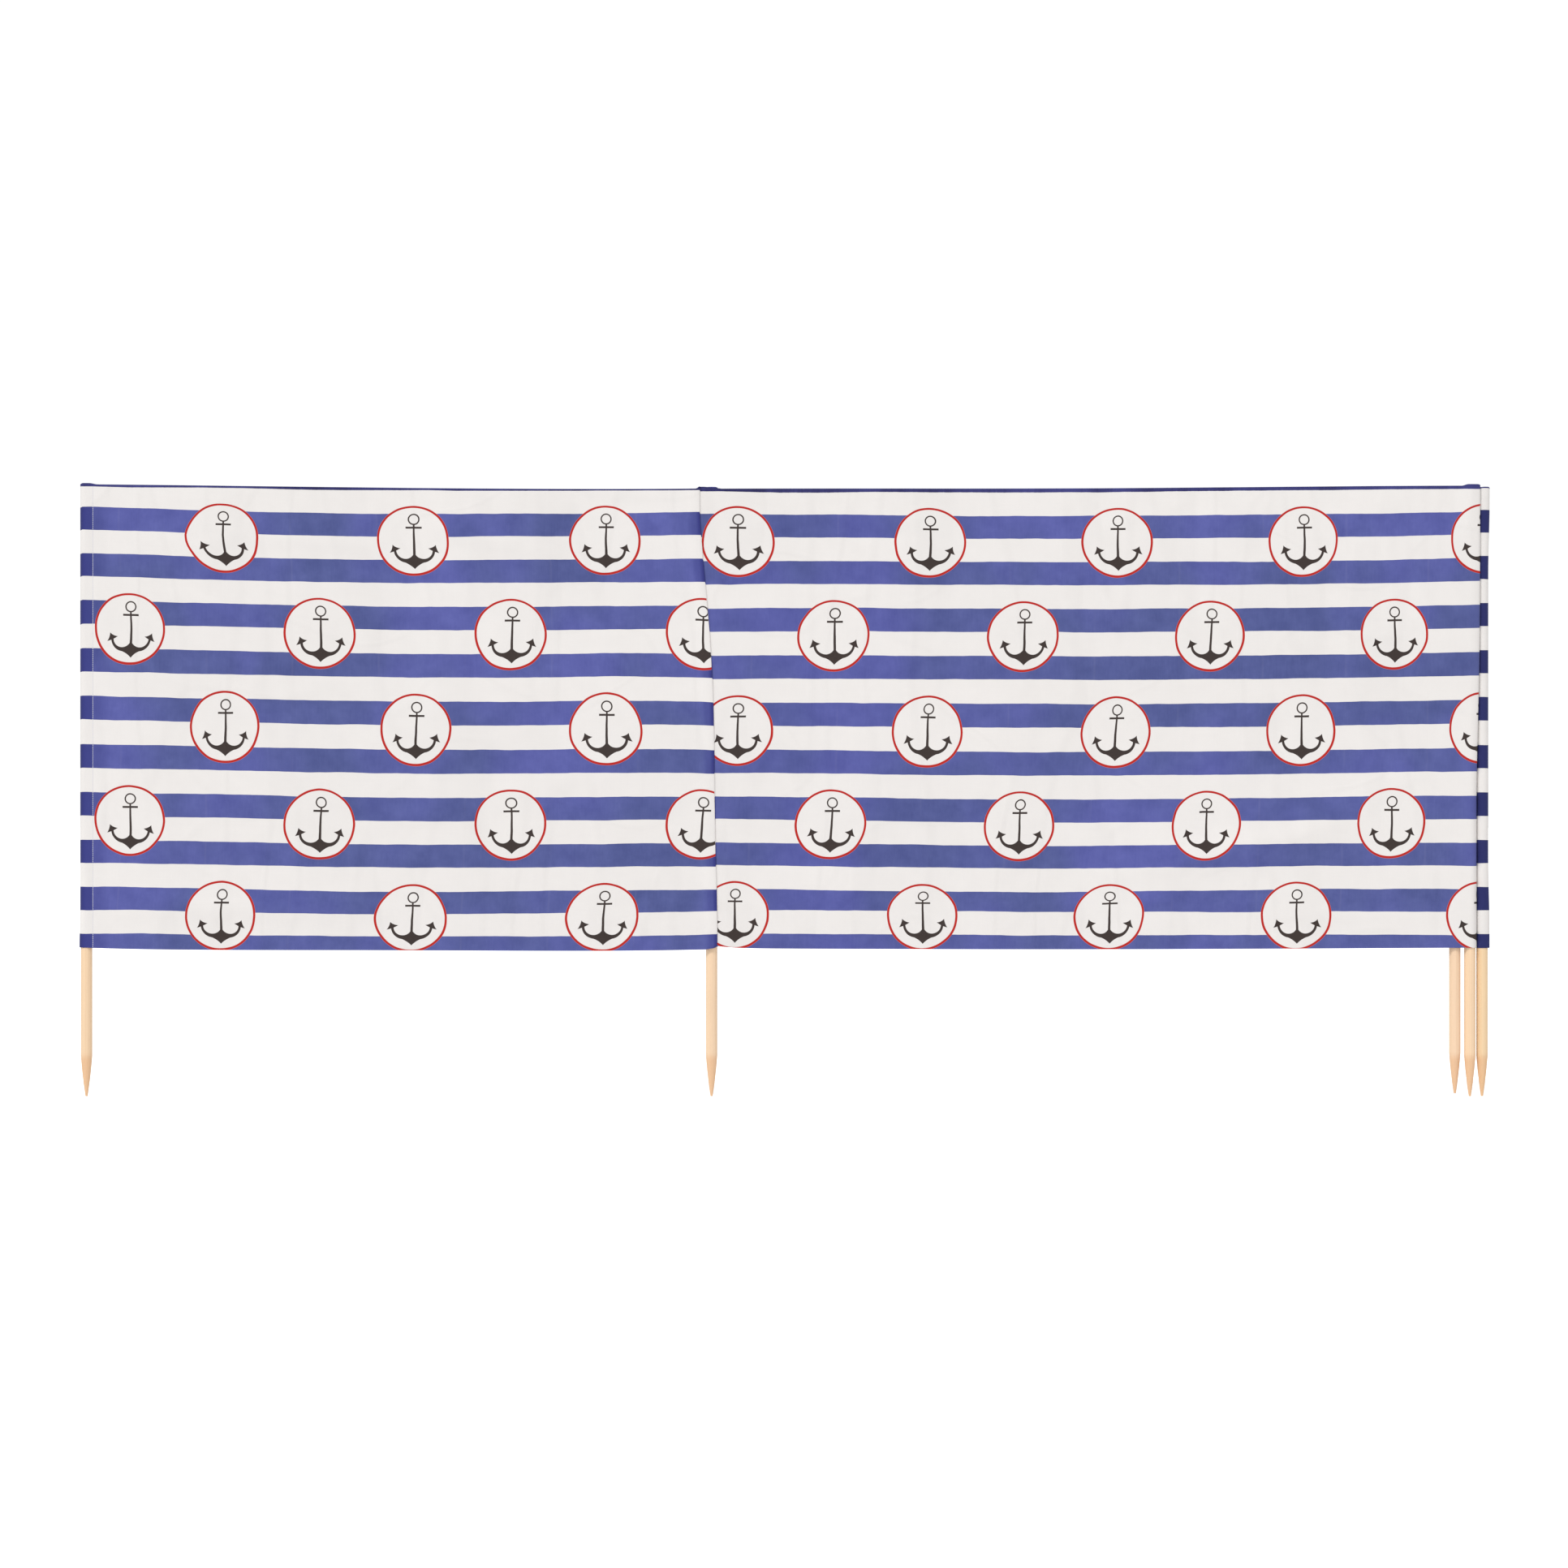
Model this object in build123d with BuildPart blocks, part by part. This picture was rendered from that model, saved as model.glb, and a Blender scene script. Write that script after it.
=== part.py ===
# Beach windbreak: one long cloth sewn round five wooden stakes, in four bays.
# Two bays stand spread out. The other two are folded in half behind the second one,
# so that their stakes stand side by side at the right-hand end.
# Millimetres. X runs along the cloth, -Y is the printed front, +Z is up.
# The origin is the blunt tip of the second stake, which stays in the ground.
from build123d import *
from math import asin, atan2, cos, degrees, hypot, pi, radians, sin
import os

# Stakes
stake_diameter = 20.0
tip_diameter = 4.0
taper_length = 70.0
taper_swell = 0.7          # how far the taper's middle stands out from a straight cone
top_chamfer = 1.5
fourth_stake_short = 5.0   # the fourth stake is cut a little shorter at its tip

# Cloth
bay_1_width = 1079.0       # between the stakes of the two outer bays
bay_2_width = 1309.0       # between the stakes of the two inner bays
bare_stake = 255.0         # stake that shows below the cloth, tip included
cloth_height = 796.0
cloth_thickness = 0.6
stake_ease = 0.3           # a pocket clears its stake by this much
layer_gap = 0.3            # between layers of cloth that lie on each other
top_hem_height = 6.0
bottom_hem_height = 10.0
cap_height = 4.0           # closed top of a pocket, above the cloth
seam_allowance = 6.0       # cloth that joins a middle pocket to the bays
hem_return = 14.0          # from an end stake's axis to the stitches of its pocket
hem_lap = 9.0              # cloth past those stitches
lap_bend_radius = 4.0
lap_5_shift = 6.0          # the last hem is sewn down this far short of the third stake's axis

# Folded end
stake_4_slack = 1.9        # spare room between the third and fourth stakes
stake_5_slack = 0.5        # spare room between the third and fifth stakes
stake_5_angle = 22.0       # the fifth stake stands this far behind the third one's line
fold_gap = 0.3             # inside a crease

# Worked out from the sizes above
stake_radius = stake_diameter / 2
cloth_top = bare_stake + cloth_height
half_cloth = cloth_thickness / 2
layer_pitch = cloth_thickness + layer_gap
end_mid = stake_radius + stake_ease + half_cloth
tube_mid = end_mid
main_mid = tube_mid + layer_pitch
over_mid = main_mid + layer_pitch
front_y = -(main_mid + half_cloth)
hinge_x = front_y
crease_radius = (fold_gap + cloth_thickness) / 2
bay_3_width = bay_2_width
bay_4_width = bay_1_width

stake_1 = (-bay_1_width, end_mid - main_mid)
stake_2 = (0.0, 0.0)
stake_3 = (bay_2_width, 0.0)
stake_4 = (bay_2_width - main_mid - over_mid - stake_4_slack, over_mid - main_mid + layer_pitch)
stake_5_reach = over_mid + end_mid + stake_5_slack
stake_5 = (
    bay_2_width + stake_5_reach * cos(radians(stake_5_angle)),
    stake_5_reach * sin(radians(stake_5_angle)),
)
crease_3 = (stake_4[0] - bay_3_width / 2, stake_4[1] - (main_mid + over_mid) / 2)
crease_4 = (stake_4[0] - bay_4_width / 2, crease_3[1] + 2 * crease_radius + cloth_thickness + layer_gap)

LEFT, RIGHT = 1, -1


# A sheet seen from above is a belt: straight runs that leave and meet circles at a tangent.
# A stop is (centre, radius, turn), and the belt turns LEFT or RIGHT round it.
def headings(stops):
    found = []
    for (start, r1, turn1), (end, r2, turn2) in zip(stops, stops[1:]):
        dx, dy = end[0] - start[0], end[1] - start[1]
        found.append(atan2(dy, dx) - asin((turn2 * r2 - turn1 * r1) / hypot(dx, dy)))
    return found


def touch(stop, heading):
    (x, y), r, turn = stop
    return (x + turn * r * sin(heading), y - turn * r * cos(heading))


def run(first, second):
    heading = headings([first, second])[0]
    return ("run", touch(first, heading), touch(second, heading))


def bend(stop, heading_in, heading_out):
    centre, r, turn = stop
    start = degrees(heading_in) - 90 * turn
    sweep = (degrees(heading_out - heading_in) * turn) % 360
    return ("bend", centre, r, start, turn * sweep)


# The end of a hem: from the stake to the stitches, then flat along the cloth it is sewn to
def sewn_end(stake, stitches, along):
    start = touch(stitches, along)
    end = (start[0] + hem_lap * cos(along), start[1] + hem_lap * sin(along))
    into = headings([stake, stitches])[0]
    return [run(stake, stitches), bend(stitches, into, along), ("run", start, end)]


def draw(route):
    for kind, *sizes in route:
        if kind == "run":
            Line(*sizes)
        else:
            CenterArc(*sizes)


def finish(builder, label):
    builder.part.label = label
    export_step(builder.part, f"parts/{label}.step")


# Cloth that follows a route seen from above, from one height to another
def make_cloth(label, route, low, high):
    with BuildPart() as cloth:
        with BuildSketch(Plane.XY.offset(low)):
            with BuildLine():
                draw(route)
            trace(line_width=cloth_thickness)
        extrude(amount=high - low)
    finish(cloth, label)


# One bay: its panel of cloth between a hem along the top and one along the bottom
def make_bay(number, route):
    hem_low = cloth_top - top_hem_height
    hem_high = bare_stake + bottom_hem_height
    make_cloth(f"bay_{number}", route, hem_high, hem_low)
    make_cloth(f"top_hem_{number}", route, hem_low, cloth_top)
    make_cloth(f"bottom_hem_{number}", route, bare_stake, hem_high)


# A turned stake: round shaft, swelling taper and blunt flat tip
def make_stake(number, place, short=0.0):
    foot = Plane(origin=(*place, short), x_dir=(1, 0, 0), z_dir=(0, -1, 0))
    top = cloth_top - short
    half_way = (tip_diameter + stake_diameter) / 4 + taper_swell
    with BuildPart() as stake:
        with BuildSketch(foot):
            with BuildLine():
                Line((0, 0), (tip_diameter / 2, 0))
                ThreePointArc(
                    (tip_diameter / 2, 0), (half_way, taper_length / 2), (stake_radius, taper_length)
                )
                Polyline(
                    (stake_radius, taper_length),
                    (stake_radius, top - top_chamfer),
                    (stake_radius - top_chamfer, top),
                    (0, top),
                    (0, 0),
                )
            make_face()
        revolve(axis=Axis((*place, 0), (0, 0, 1)))
    finish(stake, f"stake_{number}")


# The closed top of a pocket, a shallow dome over the end of its stake
def make_cap(number, place):
    side = Plane(origin=(*place, cloth_top), x_dir=(1, 0, 0), z_dir=(0, -1, 0))
    inner = tube_mid - half_cloth
    outer = tube_mid + half_cloth
    rise = cap_height - cloth_thickness
    with BuildPart() as cap:
        with BuildSketch(side):
            with BuildLine():
                Line((inner, 0), (outer, 0))
                TangentArc((0, cap_height), (outer, 0), tangent=(1, 0))
                Line((0, cap_height), (0, rise))
                TangentArc((0, rise), (inner, 0), tangent=(1, 0))
            make_face()
        revolve(axis=Axis((*place, 0), (0, 0, 1)))
    finish(cap, f"cap_{number}")


# A middle pocket: a tube sewn to the back of the cloth, joined to it by its seam
def make_middle_pocket(number, place, seam=False):
    inner = tube_mid - half_cloth
    outer = tube_mid + half_cloth
    with BuildPart() as pocket:
        with BuildSketch(Plane.XY.offset(bare_stake)):
            with Locations(place):
                Circle(outer)
                if seam:
                    with Locations((-outer, -outer - layer_gap)):
                        Rectangle(seam_allowance, seam_allowance, align=(Align.MIN, Align.MIN))
                Circle(inner, mode=Mode.SUBTRACT)
        extrude(amount=cloth_height)
    finish(pocket, f"pocket_{number}")


os.makedirs("parts", exist_ok=True)

# Stakes and the closed tops of their pockets
stakes = [stake_1, stake_2, stake_3, stake_4, stake_5]
for number, place in enumerate(stakes, start=1):
    make_stake(number, place, fourth_stake_short if number == 4 else 0.0)
    make_cap(number, place)

# The two bays that stand spread out, with the crease between them at the second stake
front_mid = front_y + half_cloth
crease_clearance = cloth_thickness + layer_gap / 3
make_bay(1, [("run", (stake_1[0], front_mid), (hinge_x - layer_gap / 3, front_mid))])
make_bay(2, [("run", (hinge_x + crease_clearance, front_mid), (stake_3[0], front_mid))])

# The end pocket of the first bay: the cloth goes round the stake and is sewn to its own back
lap_y = front_mid + cloth_thickness
round_1 = (stake_1, end_mid, RIGHT)
lap_1 = ((stake_1[0] + hem_return, lap_y + lap_bend_radius), lap_bend_radius, LEFT)
make_cloth(
    "pocket_1",
    [bend(round_1, pi, headings([round_1, lap_1])[0])] + sewn_end(round_1, lap_1, 0.0),
    bare_stake,
    cloth_top,
)

make_middle_pocket(2, stake_2, seam=True)
make_middle_pocket(3, stake_3)
make_middle_pocket(4, stake_4)

# The cloth goes round the third stake, then between it and the fourth to the folded bays
around_3 = (stake_3, main_mid, LEFT)
over_4 = (stake_4, over_mid, RIGHT)
around_4 = (stake_4, main_mid, LEFT)
fold_3 = (crease_3, crease_radius, RIGHT)
fold_4 = (crease_4, crease_radius, RIGHT)
between_3_and_4 = headings([around_3, over_4])[0]
out_3 = headings([over_4, fold_3])[0]
back_3 = headings([fold_3, around_4])[0]
make_cloth(
    "wrap_3",
    [
        bend(around_3, 0.0, between_3_and_4),
        run(around_3, over_4),
        bend(over_4, between_3_and_4, out_3),
    ],
    bare_stake,
    cloth_top,
)
make_bay(3, [run(over_4, fold_3), bend(fold_3, out_3, back_3), run(fold_3, around_4)])

# Round the fourth stake, into the last bay and back
out_4 = headings([around_4, fold_4])[0]
back_4 = headings([fold_4, over_4])[0]
make_cloth("wrap_4", [bend(around_4, back_3, out_4)], bare_stake, cloth_top)
make_bay(4, [run(around_4, fold_4), bend(fold_4, out_4, back_4), run(fold_4, over_4)])

# Behind the fourth and third stakes, and round the fifth to be sewn to its own back
over_3 = (stake_3, over_mid, RIGHT)
round_5 = (stake_5, end_mid, LEFT)
behind = headings([over_4, over_3])[0]
into_5 = headings([over_3, round_5])[0]
lap_reach = over_mid + layer_pitch + lap_bend_radius
lap_5_centre = (
    stake_3[0] + lap_5_shift * cos(behind) - lap_reach * sin(behind),
    stake_3[1] + lap_5_shift * sin(behind) + lap_reach * cos(behind),
)
lap_5 = (lap_5_centre, lap_bend_radius, RIGHT)
make_cloth(
    "wrap_5",
    [bend(over_4, back_4, behind), run(over_4, over_3), bend(over_3, behind, into_5)],
    bare_stake,
    cloth_top,
)
make_cloth(
    "pocket_5",
    [run(over_3, round_5), bend(round_5, into_5, headings([round_5, lap_5])[0])]
    + sewn_end(round_5, lap_5, behind + pi),
    bare_stake,
    cloth_top,
)
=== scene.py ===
from math import asin, atan2, cos, hypot, pi, radians, sin

import bpy
import numpy as np
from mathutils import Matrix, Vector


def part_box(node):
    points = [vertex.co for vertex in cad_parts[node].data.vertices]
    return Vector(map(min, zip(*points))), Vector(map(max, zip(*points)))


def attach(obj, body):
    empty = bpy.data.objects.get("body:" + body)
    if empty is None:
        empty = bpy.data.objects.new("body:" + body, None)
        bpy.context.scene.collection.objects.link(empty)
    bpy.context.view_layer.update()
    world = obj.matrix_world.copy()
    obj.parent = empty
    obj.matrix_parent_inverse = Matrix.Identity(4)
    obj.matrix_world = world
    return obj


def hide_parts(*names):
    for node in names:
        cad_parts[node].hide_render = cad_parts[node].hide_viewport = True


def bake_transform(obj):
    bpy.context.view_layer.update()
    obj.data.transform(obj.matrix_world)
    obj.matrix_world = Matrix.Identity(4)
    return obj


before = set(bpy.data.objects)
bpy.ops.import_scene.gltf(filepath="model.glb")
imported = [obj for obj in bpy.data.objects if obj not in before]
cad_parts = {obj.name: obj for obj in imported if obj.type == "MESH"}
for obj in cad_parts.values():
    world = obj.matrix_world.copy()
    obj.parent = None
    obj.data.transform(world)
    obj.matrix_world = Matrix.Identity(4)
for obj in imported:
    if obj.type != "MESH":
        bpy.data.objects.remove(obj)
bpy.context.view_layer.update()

scene = bpy.context.scene
bpy.ops.object.select_all(action="DESELECT")


# Sizes, in metres, that the cloth shares with the CAD model
def place(stake):
    low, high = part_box(f"stake_{stake}")
    return ((low.x + high.x) / 2, (low.y + high.y) / 2)


stakes = {number: place(number) for number in range(1, 6)}
bare_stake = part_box("bottom_hem_1")[0].z
cloth_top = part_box("top_hem_1")[1].z
cloth_height = cloth_top - bare_stake
front_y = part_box("bay_2")[0].y
cloth_thickness = 0.0006
layer_pitch = 0.0009
front_mid = front_y + cloth_thickness / 2
hinge_x = front_y
sleeve_mid = 0.0106
main_mid = sleeve_mid + layer_pitch
over_mid = main_mid + layer_pitch
crease_radius = layer_pitch / 2
hem_return = 0.014
hem_lap = 0.009
lap_bend_radius = 0.004

# Sizes that only the dressed cloth has
shown_thickness = 0.0005
hem_thickness = 0.0011
top_hem = 0.0085
bottom_hem = 0.0100
hem_edge = 0.0008          # the last of a hem's height, over which it thins out
stitch_line_x = stakes[1][0] + 0.0118

# The print. Its rows are counted in stripes from the top, and its columns of roundels from the left
stripe_pitch = 0.0809
stripe_share = 0.494
stripes_in_all = 10.287
column_pitch = 0.33

LEFT, RIGHT = 1, -1


# Camera, floor and light
def set_camera():
    distance = 14.0
    frame_width = 2.7048
    data = bpy.data.cameras.new("camera")
    data.sensor_width = 36.0
    data.lens = data.sensor_width * (distance + front_y) / frame_width
    data.clip_end = 100.0
    camera = bpy.data.objects.new("camera", data)
    camera.location = (0.125, -distance, 0.539)
    camera.rotation_euler = (radians(90), 0, 0)
    scene.collection.objects.link(camera)
    scene.camera = camera


def add_soft_sun(name, elevation, from_left, softness, power):
    data = bpy.data.lights.new(name, "SUN")
    data.angle = radians(softness)
    data.energy = power
    lamp = bpy.data.objects.new(name, data)
    lamp.rotation_euler = (radians(90 - elevation), 0, radians(-from_left))
    lamp.location = (-2, -3, 4)
    scene.collection.objects.link(lamp)


def set_stage():
    bpy.ops.mesh.primitive_plane_add(size=600, location=(0, 0, -0.001))
    floor = bpy.context.object
    floor.name = "floor"
    floor.select_set(False)
    pale = bpy.data.materials.new("pale_floor")
    pale.use_nodes = True
    surface = pale.node_tree.nodes["Principled BSDF"]
    surface.inputs["Base Color"].default_value = (0.95, 0.95, 0.95, 1)
    surface.inputs["Roughness"].default_value = 0.9
    surface.inputs["Specular IOR Level"].default_value = 0.0
    # The floor of a white studio is lit from behind, so no shadow shows on it
    surface.inputs["Emission Color"].default_value = (0.5, 0.5, 0.5, 1)
    looked_at = pale.node_tree.nodes.new("ShaderNodeLightPath")
    pale.node_tree.links.new(looked_at.outputs["Is Camera Ray"], surface.inputs["Emission Strength"])
    floor.data.materials.append(pale)

    world = bpy.data.worlds.new("studio")
    scene.world = world
    world.use_nodes = True
    tree = world.node_tree
    tree.nodes.clear()
    ray = tree.nodes.new("ShaderNodeLightPath")
    either = tree.nodes.new("ShaderNodeMixShader")
    out = tree.nodes.new("ShaderNodeOutputWorld")
    tree.links.new(ray.outputs["Is Camera Ray"], either.inputs[0])
    tree.links.new(either.outputs[0], out.inputs["Surface"])
    # The first background lights the object, the second is the white seen behind it
    for number, strength in ((1, 0.72), (2, 1.05)):
        background = tree.nodes.new("ShaderNodeBackground")
        background.inputs["Color"].default_value = (1, 1, 1, 1)
        background.inputs["Strength"].default_value = strength
        tree.links.new(background.outputs[0], either.inputs[number])

    add_soft_sun("key_light", 52, 32, 12, 1.45)
    scene.view_settings.view_transform = "Standard"


# Node trees are wired from sums: a Signal is a socket that can be added, scaled and compared
class Signal:
    def __init__(self, socket):
        self.socket = socket

    def __add__(self, other):
        return maths("ADD", self, other)

    def __radd__(self, other):
        return maths("ADD", other, self)

    def __sub__(self, other):
        return maths("SUBTRACT", self, other)

    def __rsub__(self, other):
        return maths("SUBTRACT", other, self)

    def __mul__(self, other):
        return maths("MULTIPLY", self, other)

    def __rmul__(self, other):
        return maths("MULTIPLY", other, self)

    def __truediv__(self, other):
        return maths("DIVIDE", self, other)

    def __neg__(self):
        return maths("MULTIPLY", self, -1.0)

    def __abs__(self):
        return maths("ABSOLUTE", self)


def connect(tree, value, socket):
    if isinstance(value, Signal):
        tree.links.new(value.socket, socket)
    else:
        socket.default_value = value


def tree_of(*values):
    return next(value.socket.id_data for value in values if isinstance(value, Signal))


def maths(operation, *values):
    tree = tree_of(*values)
    made = tree.nodes.new("ShaderNodeMath")
    made.operation = operation
    for socket, value in zip(made.inputs, values):
        connect(tree, value, socket)
    return Signal(made.outputs[0])


def least(first, *others):
    for other in others:
        first = maths("MINIMUM", first, other)
    return first


def most(first, *others):
    for other in others:
        first = maths("MAXIMUM", first, other)
    return first


def length(x, y):
    return maths("SQRT", x * x + y * y)


def nearest(value):
    return maths("ROUND", value)


# 1 inside an outline, where the distance is negative, and 0 outside, over a soft edge
def inside(distance, softness):
    return ramp(distance, softness, -softness)


def ramp(value, low, high, to_low=0.0, to_high=1.0):
    tree = value.socket.id_data
    made = tree.nodes.new("ShaderNodeMapRange")
    made.interpolation_type = "SMOOTHSTEP"
    for name, number in (("From Min", low), ("From Max", high), ("To Min", to_low), ("To Max", to_high)):
        made.inputs[name].default_value = number
    connect(tree, value, made.inputs["Value"])
    return Signal(made.outputs["Result"])


def vector(x, y, z=0.0):
    tree = tree_of(x, y, z)
    made = tree.nodes.new("ShaderNodeCombineXYZ")
    for socket, value in zip(made.inputs, (x, y, z)):
        connect(tree, value, socket)
    return Signal(made.outputs[0])


def parts_of(value):
    tree = value.socket.id_data
    made = tree.nodes.new("ShaderNodeSeparateXYZ")
    connect(tree, value, made.inputs[0])
    return [Signal(socket) for socket in made.outputs]


def noise(at, scale, detail=2.0, roughness=0.5, output="Fac"):
    tree = at.socket.id_data
    made = tree.nodes.new("ShaderNodeTexNoise")
    made.inputs["Scale"].default_value = scale
    made.inputs["Detail"].default_value = detail
    made.inputs["Roughness"].default_value = roughness
    connect(tree, at, made.inputs["Vector"])
    return Signal(made.outputs[output])


def mix_colour(share, first, second, blend="MIX"):
    tree = tree_of(share, first, second)
    made = tree.nodes.new("ShaderNodeMix")
    made.data_type = "RGBA"
    made.blend_type = blend
    connect(tree, share, made.inputs["Factor"])
    connect(tree, first, made.inputs[6])
    connect(tree, second, made.inputs[7])
    return Signal(made.outputs[2])


# A finish is given as it looks in the studio light, which is a little brighter than 1
studio_brightness = 1.12


def seen_as(red, green, blue):
    def linear(value):
        value /= 255
        return value / 12.92 if value <= 0.04045 else ((value + 0.055) / 1.055) ** 2.4
    return tuple(linear(value) / studio_brightness for value in (red, green, blue)) + (1.0,)


# A group reads a place on the cloth or in the wood, and perhaps some plain numbers
def new_group(name, outputs, **numbers):
    tree = bpy.data.node_groups.new(name, "ShaderNodeTree")
    tree.interface.new_socket("Place", in_out="INPUT", socket_type="NodeSocketVector")
    for label, number in numbers.items():
        label = label.replace("_", " ")
        socket = tree.interface.new_socket(label, in_out="INPUT", socket_type="NodeSocketFloat")
        socket.default_value = number
    for label in outputs:
        tree.interface.new_socket(label, in_out="OUTPUT", socket_type="NodeSocketFloat")
    start = tree.nodes.new("NodeGroupInput")
    end = tree.nodes.new("NodeGroupOutput")
    given = {socket.name: Signal(socket) for socket in start.outputs if socket.name}
    return tree, given, end


def close_group(tree, end, **values):
    for label, value in values.items():
        connect(tree, value, end.inputs[label])
    arrange(tree)
    return tree


def use_group(tree, group, **values):
    made = tree.nodes.new("ShaderNodeGroup")
    made.node_tree = group
    for label, value in values.items():
        connect(tree, value, made.inputs[label.replace("_", " ")])
    return {socket.name: Signal(socket) for socket in made.outputs}


# Sets the nodes of a finished tree out in columns, from the output back
def arrange(tree):
    column = {}
    ends = [n for n in tree.nodes if not any(s.is_linked for s in n.outputs)]
    waiting = [(n, 0) for n in ends]
    while waiting:
        node, depth = waiting.pop()
        if column.get(node.name, -1) >= depth:
            continue
        column[node.name] = depth
        for socket in node.inputs:
            for link in socket.links:
                waiting.append((link.from_node, depth + 1))
    filled = {}
    for node in tree.nodes:
        depth = column.get(node.name, 0)
        row = filled.get(depth, 0)
        filled[depth] = row + 1
        node.location = (-220 * depth, -180 * row)


# The printed anchor. x and y are millimetres from the middle of its roundel, y down
def anchor_outline(x, y):
    side = abs(x)
    eye = abs(length(x, y + 38.9) - 8.6) - 1.2
    stock = most(side - 13.3, abs(y + 24.5) - 1.75)
    shank = most(side - 1.85 - 0.014 * (y + 3.0), abs(y) - 30.2)
    bight = length(side - 15.4, y - 16.1) - 15.5
    sweep = length(most(side - 12.2, 0.0), y - 15.7) - 23.0
    shoulder = most(40.9 - length(side - 31.2, y - 76.3), side - 20.0, 28.0 - y)
    arms = most(least(sweep, shoulder), -bight, 13.2 - y)
    fluke = fluke_outline(side, y)
    return least(eye, stock, shank, arms, fluke)


# An arrowhead with hollow sides and a full base, from its tip and two barbs
def fluke_outline(x, y):
    tip, outer_barb, inner_barb = (36.9, 6.2), (42.1, 21.1), (23.5, 12.5)
    hollows = (1.1, -1.1, 1.4)
    corners = [tip, outer_barb, inner_barb]
    sides = []
    for (x1, y1), (x2, y2), hollow in zip(corners, corners[1:] + corners[:1], hollows):
        reach = hypot(x2 - x1, y2 - y1)
        along_x, along_y = (x2 - x1) / reach, (y2 - y1) / reach
        along = (x - x1) * along_x + (y - y1) * along_y
        across = (x - x1) * along_y - (y - y1) * along_x
        middle = along / (reach / 2) - 1.0
        sides.append(across + hollow * (1.0 - least(middle * middle, 1.0)))
    return most(*sides)


# Roundels, in millimetres. The red rim, the white inside it and the anchor stand a little apart
rim_radius = 62.2
white_radius = 58.3
white_rise = 0.3
anchor_shift = 1.6
anchor_drop = 0.4
roundel_flatness = 1.02
# How far a row's middle lies above the start of its second stripe, in stripes
roundel_rise = 0.4144


# The print: stripes, and roundels in staggered rows, on the cloth's own map in metres
def make_print_group():
    tree, given, end = new_group("nautical_print", ["Blue", "Red", "Dark"])
    straight = given["Place"]
    warp_x, warp_y, _ = parts_of(noise(straight, 9.0, 1.0, output="Color"))
    fine_x, fine_y, _ = parts_of(noise(straight, 42.0, 1.0, output="Color"))
    u, v, _ = parts_of(straight)
    u = u + (warp_x - 0.5) * 0.010 + (fine_x - 0.5) * 0.0012
    v = v + (warp_y - 0.5) * 0.0035 + (fine_y - 0.5) * 0.0012

    stripes = stripes_in_all - v / stripe_pitch
    past = stripes - stripe_share / 2
    from_blue = abs(past - nearest(past))
    blue = inside(from_blue - stripe_share / 2, 0.004) * ramp(stripes, 0.70, 0.74)

    rows = (stripes + roundel_rise) / 2
    row = nearest(rows)
    down = (rows - row) * (2000 * stripe_pitch * roundel_flatness)
    odd = abs(row / 2 - nearest(row / 2)) * 2
    columns = u / column_pitch + 0.5 * (1.0 - odd)
    across = (columns - nearest(columns)) * (1000 * column_pitch)

    disc = inside(length(across, down) - rim_radius, 0.35)
    white = inside(length(across, down + white_rise) - white_radius, 0.35)
    anchor = inside(anchor_outline(across - anchor_shift, down - anchor_drop), 0.3)
    return close_group(tree, end, Blue=blue * (1.0 - disc), Red=disc * (1.0 - white), Dark=anchor * white)


# Metres of cloth that two threads side by side take up
thread_pitch = 0.0009


# Plain weave: threads that cross over and under, slubs in both directions and a few soft creases
def make_weave_group():
    tree, given, end = new_group("plain_weave", ["Height", "Tone", "Crease", "Mottle", "Wide", "Fold"])
    u, v, _ = parts_of(given["Place"])
    thread = 2 * pi / thread_pitch
    over = maths("SINE", u * thread) * maths("SINE", v * thread)
    slub_up = noise(vector(u * 900.0, v * 12.0), 1.0, 1.0)
    slub_across = noise(vector(u * 12.0, v * 900.0), 1.0, 1.0)
    blotch = noise(given["Place"], 26.0, 3.0, 0.6)
    wide = noise(vector(u, v * 0.6, 4.0), 5.0, 2.0)
    crease_a = abs(noise(vector(u * 9.0, v * 1.4, 2.0), 1.0, 1.0) - 0.5)
    crease_b = abs(noise(vector(u * 3.0, v * 4.5, 9.0), 1.0, 1.0) - 0.5)
    crease = ramp(crease_a, 0.0, 0.045, 1.0, 0.0) + 0.6 * ramp(crease_b, 0.0, 0.022, 1.0, 0.0)
    # Sharp lines where the cloth was folded up in its packet, a hand's width apart
    fold_sway = noise(vector(3.0, v * 3.0), 1.0, 1.0)
    folds = u * 6.7 + (fold_sway - 0.5) * 0.03
    fold_fade = noise(vector(nearest(folds) * 5.3, v * 7.0), 1.0, 1.0)
    fold = ramp(abs(folds - nearest(folds)), 0.0, 0.020, 1.0, 0.0) * ramp(fold_fade, 0.42, 0.60)
    height = over * 0.5 + slub_up * 0.8 + slub_across * 0.8
    tone = (slub_up - 0.5) * 0.10 + (slub_across - 0.5) * 0.10 + (blotch - 0.5) * 0.30 + (wide - 0.5) * 0.25
    streak = noise(vector(u * 260.0, v * 45.0), 1.0, 1.0)
    mottle = 0.5 + (blotch - 0.5) * 1.5 + (wide - 0.5) * 1.6 + (streak - 0.5) * 0.35 + (slub_up - 0.5) * 0.25
    return close_group(
        tree, end, Height=height, Tone=tone, Crease=crease,
        Mottle=most(least(mottle, 1.0), 0.0), Wide=ramp(wide, 0.35, 0.65), Fold=fold,
    )


# Metres of wood grown in a year
ring_pitch = 0.0034


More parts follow.
